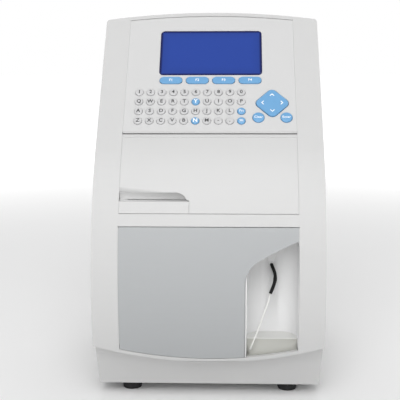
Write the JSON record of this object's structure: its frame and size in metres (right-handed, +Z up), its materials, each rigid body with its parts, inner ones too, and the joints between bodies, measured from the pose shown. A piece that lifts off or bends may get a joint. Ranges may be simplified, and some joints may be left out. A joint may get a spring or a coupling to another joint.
{
  "type": "benchtop chemistry analyzer",
  "caption": "White benchtop chemistry analyzer: leaning keypad and display console, printer cover, hinged grey door beside a sampling niche with a probe and drip tray.",
  "frame": {"origin": "on the bench, under the middle of the housing's width and depth", "axes": "+X to the user's right, +Y to the rear, +Z up"},
  "size_m": [0.2472, 0.3, 0.418],
  "materials": {
    "housing_white": "fine satin moulding",
    "panel_white": "smooth satin moulding",
    "panel_painted": "powder coat",
    "liner_white": "satin moulding",
    "door_grey": "satin cool grey moulding",
    "tray_beige": "satin beige moulding",
    "pump_grey": "satin moulding",
    "black_plastic": "satin moulding",
    "key_blue": "satin moulding",
    "function_blue": "satin moulding",
    "grey_silicone": "soft matt silicone",
    "black_rubber": "matt",
    "clear_tube": "translucent satin",
    "electrode_clear": "clear cast housings",
    "display_glass": "clear lens",
    "display_blue": "lit display",
    "circuit_board": "solder resist",
    "paper_white": "smooth roll paper",
    "pan_steel": "grey coat on sheet steel",
    "bare_steel": "plain"
  },
  "bodies": {
    "housing": {"front_frame": "housing_white", "rear_housing": "housing_white", "base_pan": "pan_steel", "rubber_feet": "black_rubber", "console_panel": "panel_white", "display_window": "display_glass", "display_module": "display_blue", "keypad_mat": "grey_silicone", "keypad_board": "circuit_board", "cursor_base": "panel_white", "door_magnets": "black_plastic", "niche_liner": "liner_white", "drip_tray": "tray_beige", "probe_collar": "liner_white", "chassis_plate": "pan_steel", "printer_frame": "pan_steel", "print_head": "black_plastic", "paper_spindle": "black_plastic", "module_bay": "liner_white", "pump_housing": "pump_grey", "pump_tube": "clear_tube", "pump_motor": "bare_steel", "electrode_holder": "pump_grey", "electrodes": "electrode_clear", "pinch_valve": "black_plastic", "reagent_pack": "panel_white", "rear_panel": "panel_painted", "power_inlet": "black_plastic", "main_board": "circuit_board", "serial_port": "bare_steel", "power_supply": "bare_steel", "housing_screws": "bare_steel", "cover_hinge_pins": "bare_steel", "door_hinge_pins": "bare_steel", "probe_sleeve": "black_rubber", "sample_probe": "clear_tube"},
    "cover": {"printer_cover": "panel_white", "tear_bar": "panel_white"},
    "door": {"front_door": "door_grey", "door_strikes": "bare_steel"},
    "platen": {"platen_roller": "black_rubber", "platen_shaft": "bare_steel"},
    "paper": {"paper_roll": "paper_white"},
    "pump": {"pump_rotor": "pump_grey", "pump_rollers": "bare_steel"},
    "plunger": {"valve_plunger": "bare_steel"},
    "pad_cross": {"cursor_cross": "key_blue"},
    "pad": {"cursor_pad": "key_blue"},
    "rocker": {"power_rocker": "black_plastic"},
    "yes_key_body": {"yes_key": "key_blue"},
    "no_key_body": {"no_key": "key_blue"},
    "print_key_body": {"print_key": "key_blue"},
    "shift_key_body": {"shift_key": "key_blue"},
    "clear_key_body": {"clear_key": "key_blue"},
    "enter_key_body": {"enter_key": "key_blue"},
    "function_key_1_body": {"function_key_1": "function_blue"},
    "function_key_2_body": {"function_key_2": "function_blue"},
    "function_key_3_body": {"function_key_3": "function_blue"},
    "function_key_4_body": {"function_key_4": "function_blue"}
  },
  "joints": [
    {"name": "cover_hinge", "type": "hinge", "parent": "housing", "child": "cover", "pos_m": [0, -0.08106, 0.28274], "axis": [-1, 0, 0], "range_deg": [0, 100]},
    {"name": "door_hinge", "type": "hinge", "parent": "housing", "child": "door", "pos_m": [0, -0.13426, 0.1899], "axis": [-1, 0, 0], "range_deg": [0, 95]},
    {"name": "paper_spin", "type": "hinge", "parent": "housing", "child": "paper", "pos_m": [-0.0553, -0.0823, 0.2397], "axis": [1, 0, 0], "continuous": true},
    {"name": "platen_spin", "type": "hinge", "parent": "housing", "child": "platen", "pos_m": [-0.0553, -0.11, 0.209], "axis": [1, 0, 0], "continuous": true},
    {"name": "pump_spin", "type": "hinge", "parent": "housing", "child": "pump", "pos_m": [-0.06, -0.06, 0.154], "axis": [0, 1, 0], "continuous": true},
    {"name": "plunger_slide", "type": "slide", "parent": "housing", "child": "plunger", "axis": [0, 1, 0], "range_m": [0, 0.002], "stiffness_N_per_m": 500},
    {"name": "pad_tilt_vertical", "type": "hinge", "parent": "housing", "child": "pad_cross", "pos_m": [0.069, -0.0546, 0.31594], "axis": [1, 0, 0], "range_deg": [-1.5, 1.5], "stiffness_Nm_per_rad": 0.3},
    {"name": "pad_tilt_sideways", "type": "hinge", "parent": "pad_cross", "child": "pad", "pos_m": [0.069, -0.0546, 0.31594], "axis": [0, 0.6361, 0.7716], "range_deg": [-1.5, 1.5], "stiffness_Nm_per_rad": 0.3},
    {"name": "power_switch", "type": "hinge", "parent": "housing", "child": "rocker", "pos_m": [0.09, 0.142, 0.06], "axis": [1, 0, 0], "range_deg": [0, 12]},
    {"name": "yes_key_press", "type": "slide", "parent": "housing", "child": "yes_key_body", "axis": [0, 0.7716, -0.6361], "range_m": [0, 0.0008], "stiffness_N_per_m": 400},
    {"name": "no_key_press", "type": "slide", "parent": "housing", "child": "no_key_body", "axis": [0, 0.7716, -0.6361], "range_m": [0, 0.0008], "stiffness_N_per_m": 400},
    {"name": "print_key_press", "type": "slide", "parent": "housing", "child": "print_key_body", "axis": [0, 0.7716, -0.6361], "range_m": [0, 0.0008], "stiffness_N_per_m": 400},
    {"name": "shift_key_press", "type": "slide", "parent": "housing", "child": "shift_key_body", "axis": [0, 0.7716, -0.6361], "range_m": [0, 0.0008], "stiffness_N_per_m": 400},
    {"name": "clear_key_press", "type": "slide", "parent": "housing", "child": "clear_key_body", "axis": [0, 0.7716, -0.6361], "range_m": [0, 0.0008], "stiffness_N_per_m": 400},
    {"name": "enter_key_press", "type": "slide", "parent": "housing", "child": "enter_key_body", "axis": [0, 0.7716, -0.6361], "range_m": [0, 0.0008], "stiffness_N_per_m": 400},
    {"name": "function_key_1_press", "type": "slide", "parent": "housing", "child": "function_key_1_body", "axis": [0, 0.7716, -0.6361], "range_m": [0, 0.0008], "stiffness_N_per_m": 400},
    {"name": "function_key_2_press", "type": "slide", "parent": "housing", "child": "function_key_2_body", "axis": [0, 0.7716, -0.6361], "range_m": [0, 0.0008], "stiffness_N_per_m": 400},
    {"name": "function_key_3_press", "type": "slide", "parent": "housing", "child": "function_key_3_body", "axis": [0, 0.7716, -0.6361], "range_m": [0, 0.0008], "stiffness_N_per_m": 400},
    {"name": "function_key_4_press", "type": "slide", "parent": "housing", "child": "function_key_4_body", "axis": [0, 0.7716, -0.6361], "range_m": [0, 0.0008], "stiffness_N_per_m": 400}
  ],
  "couplings": [
    {"joint": "platen_spin", "follows": "paper_spin", "ratio": -3.6667}
  ]
}
